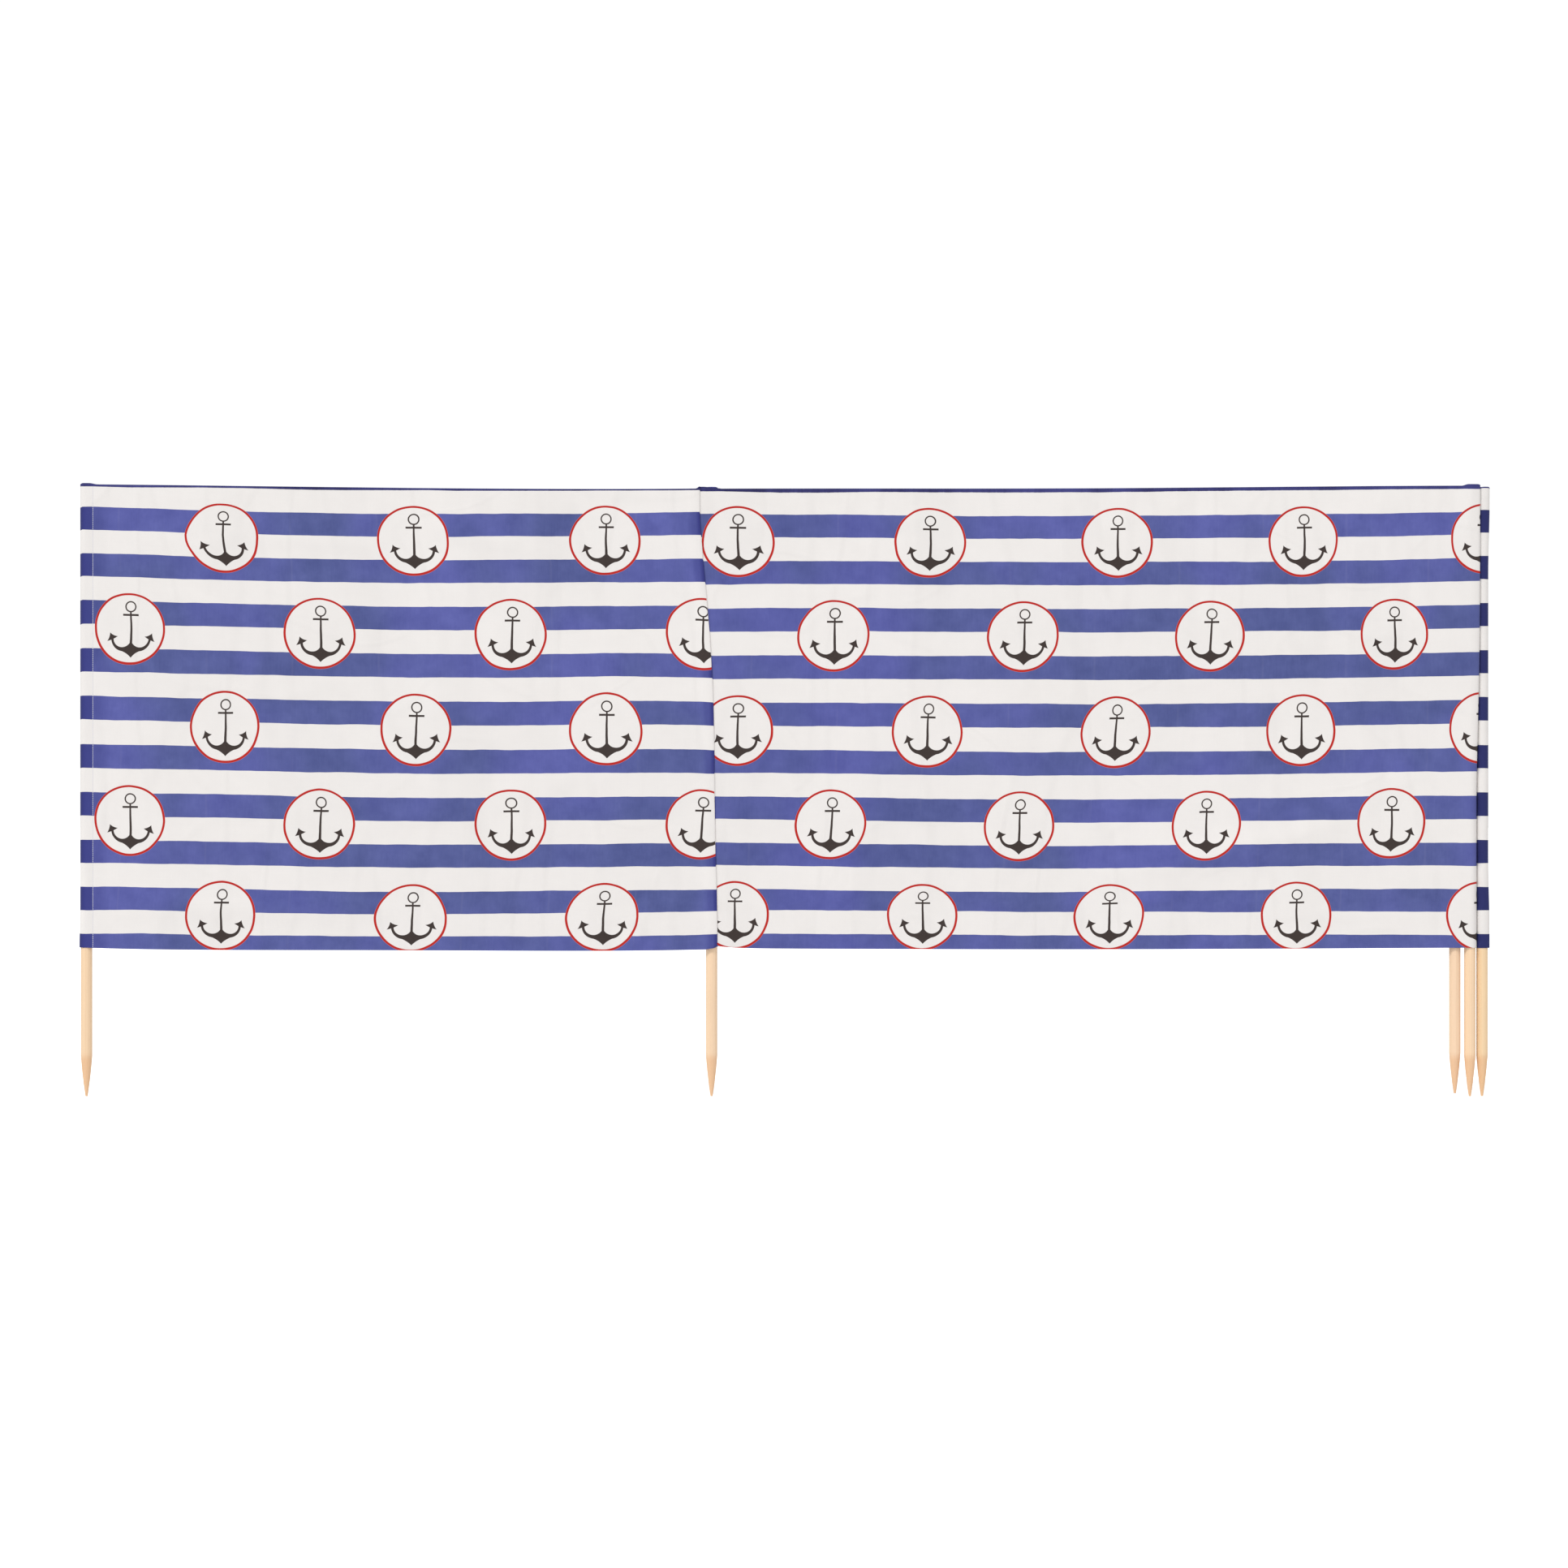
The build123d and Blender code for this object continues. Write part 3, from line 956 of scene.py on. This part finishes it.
# The two spread bays are one uncut cloth
def make_front_bays():
    pocket, bay_1, seam, bay_2 = plan_front_bays()
    x0, y0 = np.array(pocket + bay_1 + seam + bay_2).T
    number = np.arange(len(x0))
    first_tuck = len(pocket) + len(bay_1)
    last_tuck = first_tuck + len(seam)
    lap_edge = first_tuck + tuck_edge
    in_pocket = number < len(pocket)
    on_tuck = (number >= first_tuck) & (number < last_tuck)
    second_bay = number >= lap_edge
    past_tuck = number > last_tuck

    # The seam leans, and the cloth beside it follows it less and less
    shares = row_shares(76)
    follows = np.where(on_tuck, 1.0, part_way(np.abs(x0), 0.18, 0.05) ** 2)
    leaning = seam_x(bare_stake + shares * cloth_height) - seam_middle
    x = x0 + follows * leaning[:, None]
    bottom, flat_top, top = front_edges(x0, x[-1], second_bay, on_tuck & ~second_bay)
    z = bottom + shares[:, None] * (top - bottom)

    y = y0 + slack(x, z) * ~in_pocket
    # The cloth is drawn in along the stitches of the end pocket
    on_front = y0 < front_mid + 0.0002
    y = y + 0.0007 * hump(x0, stitch_line_x, 0.0022) * on_front
    # It is fuller in front of the third stake towards the top, where it stands out to the right
    round_3 = smooth_step(x0, stakes[3][0] + 0.001, stakes[3][0] + 0.010) * past_tuck
    round_3 = round_3 * smooth_step(y0, 0.001, -0.005)
    fuller = 0.0082 * smooth_step(z, 0.45, 1.02) + 0.0012 * np.sin(11.0 * z) * smooth_step(z, 0.30, 0.60)
    x = x + round_3 * (fuller - 0.0005 * smooth_step(z, 0.45, 0.30))
    # The end pocket is wider at its foot
    flare = part_way(x0, stakes[1][0], stakes[1][0] - sleeve_mid) * in_pocket
    x = x - 0.0014 * flare * smooth_step(z, 0.330, 0.262)

    # Round the first and third stakes the print goes on by the length of the cloth
    u, v = print_place(x, z, second_bay)
    gone = length_along(x0, y0)
    turn_1 = int(np.argmin(np.where(in_pocket & on_front, np.abs(x0 - stakes[1][0]), 9)))
    turn_3 = int(np.argmin(np.where(past_tuck & (x0 > stakes[3][0]), np.abs(y0 + 0.004), 9)))
    for known, beyond in ((turn_1, number < turn_1), (turn_3, number > turn_3)):
        u[:, beyond] = u[:, [known]] + gone[beyond] - gone[known]
        v[:, beyond] = v[:, [known]]

    # Painted shade for the blue ink round the stakes, at the lap and beside the stitches
    depth = shade_on_blue(x0, in_pocket, number > turn_3, on_tuck & (number <= lap_edge))
    border = np.where(second_bay, *(np.interp(x[-1], *zip(*line)) for line in (right_border, left_border)))
    # The hems lie flat beside the hinge and in the folds
    hem_share = part_way(np.abs(x0 - hinge_x), 0.04, 0.07) * (x0 < stakes[4][0] - 0.05) * ~in_pocket
    points = np.stack([x, y, z], axis=-1)
    sheet = make_sheet("front_bays", points, np.stack([u, v], axis=-1), depth, hem_share, border, flat_top)
    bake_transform(sheet)
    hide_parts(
        "bay_1", "bay_2", "top_hem_1", "top_hem_2", "bottom_hem_1", "bottom_hem_2",
        "pocket_1", "wrap_3",
    )


# The stripes of the folded bays hang level: the first and tenth one's heights, bow and sway
folded_stripes = (1.0120, 0.2803, -0.0014, 0.0017)


# Folded bays behind the second one. Each layer stands a little further back than the last.
# print_start is where the print begins, at the sheet's own start or at the place known_at
def folded_sheet(name, stops, layers, ends, print_start, nodes, known_at=None):
    x0, y0 = np.array(walk(stops, 0.016, 18.0)).T
    gone = length_along(x0, y0)
    loft = np.interp(gone, *zip(*layers(gone[-1])))
    beside_4 = stakes[4][0] - 0.012
    springs = np.sin(pi / 2 * part_way(x0, beside_4, beside_4 - 0.525))

    shares = row_shares(52)
    top_drop, bottom_rise = ends(x0)
    top = right_top(np.clip(x0, 0, 1.325)) - top_drop
    bottom = right_bottom(np.clip(x0, 0, 1.325)) + bottom_rise
    z = bottom + shares[:, None] * (top - bottom)
    x = x0 + 0.002 * np.sin(6.0 * z + 1.0) * smooth_step(x0, 1.1, 0.8)
    ripple = 1 + 0.25 * np.sin(7.0 * z + 3.0 * x0) + 0.12 * np.sin(19.0 * z)
    y = y0 + loft * springs * ripple + slack(x, z) * (x < stakes[4][0])
    # At the very end the cloth of the last pocket bulges a little at its top and bottom
    last_edge = smooth_step(x, stakes[5][0] + 0.002, stakes[5][0] + 0.009)
    x = x + 0.0024 * last_edge * (smooth_step(z, 0.90, 1.03) + smooth_step(z, 0.42, 0.28))

    if known_at is not None:
        print_start = print_start - gone[int(np.argmin(np.hypot(x0 - known_at[0], y0 - known_at[1])))]
    u = np.broadcast_to(print_start + gone, z.shape)
    v = (stripes_in_all - stripe_count(z, *folded_stripes)) * stripe_pitch
    points, uv = np.stack([x, y, z], axis=-1), np.stack([u, v], axis=-1)
    # Painted shade deepens the blue from the fourth stake to the end of the cloth
    sheet = make_sheet(name, points, uv, smooth_step(x0, beside_4, stakes[4][0]), 0.25, 0.0024)
    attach(sheet, "main")
    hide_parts(*nodes)


def make_folded_bays():
    fold_y = stakes[4][1] - (main_mid + over_mid) / 2
    half_3 = (stakes[3][0] - stakes[2][0]) / 2
    half_4 = (stakes[2][0] - stakes[1][0]) / 2
    fold_3 = ((stakes[4][0] - half_3, fold_y), crease_radius, RIGHT)
    fold_4 = ((stakes[4][0] - half_4, fold_y + 2 * crease_radius + layer_pitch), crease_radius, RIGHT)
    over_4 = (stakes[4], over_mid, RIGHT)
    around_4 = (stakes[4], main_mid, LEFT)
    # The two sheets meet a little way into the last bay
    leaving = heading(around_4, fold_4)
    start, end = touch(around_4, leaving), touch(fold_4, leaving)
    share = 0.03
    meet = point(start[0] + (end[0] - start[0]) * share, start[1] + (end[1] - start[1]) * share)

    # How far a layer stands back, as lengths of cloth gone and distances
    def layers_3(whole):
        middle = whole / 2
        return [(0, 0), (0.03, 0.0003), (middle - 0.02, 0.0004), (middle + 0.02, 0.0018), (whole, 0.0016)]

    def layers_4(whole):
        crease = half_4 * (1 - share)
        return [
            (0, 0.0026), (crease - 0.02, 0.0026), (crease + 0.02, 0.0042), (2 * crease, 0.0040), (whole, 0),
        ]

    # How far a sheet's edges lie inside those of the bay in front, at the top and at the bottom
    def ends_3(x):
        # Level with the last bay's end where the two sheets meet
        near = smooth_step(x, 1.12, 1.24)
        top_drop = (0.0025 + 0.0008 * np.sin(14 * x)) * (1 - near) + 0.0030 * near
        return top_drop, 0.0022 + 0.0006 * np.sin(11 * x)

    def ends_4(x):
        strip = smooth_step(x, stakes[3][0] - 0.01, stakes[3][0] + 0.012)
        raised = smooth_step(x, stakes[5][0] - 0.009, stakes[5][0] + 0.003)
        rounded = smooth_step(x, stakes[5][0] + 0.0085, stakes[5][0] + 0.0112)
        top_drop = 0.0030 - 0.0016 * raised + 0.0022 * rounded
        return top_drop, 0.0028 * (1 - strip) - 0.0006 * strip

    folded_sheet(
        "folded_bay_3", [between_3_and_4(), over_4, fold_3, around_4, meet], layers_3, ends_3,
        print_start=2.52, nodes=["bay_3", "top_hem_3", "bottom_hem_3", "wrap_4"],
    )

    over_3 = (stakes[3], over_mid, RIGHT)
    round_5 = (stakes[5], sleeve_mid, LEFT)
    behind = heading(over_4, over_3)
    reach = over_mid + layer_pitch + lap_bend_radius
    lap_shift = 0.006
    lap_centre = (
        stakes[3][0] + lap_shift * cos(behind) - reach * sin(behind),
        stakes[3][1] + lap_shift * sin(behind) + reach * cos(behind),
    )
    lap = (lap_centre, lap_bend_radius, RIGHT)
    along = behind + pi
    lap_start = touch(lap, along)
    lap_end = point(lap_start[0] + hem_lap * cos(along), lap_start[1] + hem_lap * sin(along))
    folded_sheet(
        "folded_bay_4", [meet, fold_4, over_4, over_3, round_5, lap, lap_end], layers_4, ends_4,
        print_start=14.25 * column_pitch, nodes=["bay_4", "top_hem_4", "bottom_hem_4", "wrap_5", "pocket_5"],
        known_at=(stakes[5][0], stakes[5][1] - sleeve_mid),
    )


# A sewn sleeve round a middle stake. Each is cut from another place of the print
def make_sleeve(number):
    low = bare_stake + 0.0030
    high = cloth_top - 0.0015
    around = np.linspace(0, 2 * pi, 29) - pi / 2
    turns, z = np.meshgrid(around, low + row_shares(30) * (high - low))
    ripple = 0.00006 * np.sin(40 * z + 2 * turns) + 0.000048 * np.sin(95 * z - turns)
    radius = sleeve_mid + ripple
    cx, cy = stakes[number]
    points = np.stack([cx + radius * np.cos(turns), cy + radius * np.sin(turns), z], axis=-1)
    uv = np.stack([turns * sleeve_mid + 0.3 * number + 0.07, z - bare_stake], axis=-1)
    # Turned about, so that its printed side faces outwards
    sheet = make_sheet(f"sleeve_{number}", points[:, ::-1], uv[:, ::-1], 0.0, 0.0, 0.004)
    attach(sheet, "main")
    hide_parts(f"pocket_{number}")


# The closed top of a pocket: cloth drawn over the end of its stake
def make_pocket_top(number, body, top, radius):
    height = 0.0045
    depth = 0.003
    bpy.ops.mesh.primitive_uv_sphere_add(
        segments=32, ring_count=20, radius=1.0, location=(0, 0, 0), calc_uvs=False
    )
    cap = bpy.context.object
    cap.name = f"pocket_top_{number}"
    mesh = cap.data
    cx, cy = stakes[number]
    for vertex in mesh.vertices:
        x, y, z = vertex.co
        out = hypot(x, y)
        rise = max(1 - out ** 4, 0) ** 0.25 * height if z > 0 else z * depth
        pleat = radius * (1 + 0.01 * sin(9 * atan2(y, x)) * out)
        vertex.co = (cx + x * pleat, cy + y * pleat, top - height + rise)
    layer = mesh.uv_layers.new(name="cloth")
    for loop in mesh.loops:
        co = mesh.vertices[loop.vertex_index].co
        layer.data[loop.index].uv = (co.x, co.y)
    mesh.materials.append(blue_hem)
    bpy.ops.object.shade_smooth()
    cap.select_set(False)
    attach(cap, body)
    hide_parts(f"cap_{number}")


# Stitches of the end pocket, down the cloth beside the first stake
def make_stitches():
    pitch = 0.0034
    width, depth, reach = 0.0010, 0.0007, 0.0030
    low = bare_stake + 0.004
    high = left_top(stitch_line_x) - 0.002
    bpy.ops.mesh.primitive_uv_sphere_add(segments=8, ring_count=6, radius=0.5, location=(0, 0, 0))
    stitch = bpy.context.object
    for vertex in stitch.data.vertices:
        x, y, z = vertex.co
        vertex.co = (stitch_line_x + x * width, front_y + 0.0006 + y * depth, low + z * reach)
    stitch.data.materials.append(sewing_thread)
    bpy.ops.object.shade_smooth()
    row = stitch.modifiers.new("row", "ARRAY")
    row.use_relative_offset = False
    row.use_constant_offset = True
    row.constant_offset_displace = (0, 0, pitch)
    row.count = int((high - low) / pitch) + 1
    bpy.ops.object.modifier_apply(modifier="row")
    stitch.name = "pocket_stitches"
    stitch.select_set(False)
    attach(stitch, "end_bay")


# Pine on the turned stakes, each cut at another place beside its tree's pith
def dress_stakes():
    looks = {
        1: ((-1.040, 0.035), seen_as(249, 218, 182), seen_as(235, 192, 148)),
        2: ((0.048, -0.030), seen_as(252, 222, 189), seen_as(238, 196, 154)),
        3: ((1.260, 0.040), seen_as(254, 223, 188), seen_as(238, 196, 152)),
        4: ((1.330, -0.045), seen_as(252, 220, 188), seen_as(236, 196, 154)),
        5: ((1.370, 0.060), seen_as(251, 222, 182), seen_as(238, 196, 144)),
    }
    for number, (pith, tone, ring_tone) in looks.items():
        material = make_pine(number, pith, tone, ring_tone)
        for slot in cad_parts[f"stake_{number}"].material_slots:
            slot.material = material


set_camera()
set_stage()
make_front_bays()
make_folded_bays()
for middle in (2, 3, 4):
    make_sleeve(middle)
# An end pocket's top lies inside the cloth round the stake, a middle one's over its sleeve
inside_radius, outside_radius = 0.0102, 0.0110
make_pocket_top(1, "end_bay", 1.0558, inside_radius)
make_pocket_top(2, "main", 1.0520, outside_radius)
make_pocket_top(3, "main", 1.0550, outside_radius)
make_pocket_top(4, "main", 1.0520, outside_radius)
make_pocket_top(5, "main", 1.0520, inside_radius)
make_stitches()
dress_stakes()
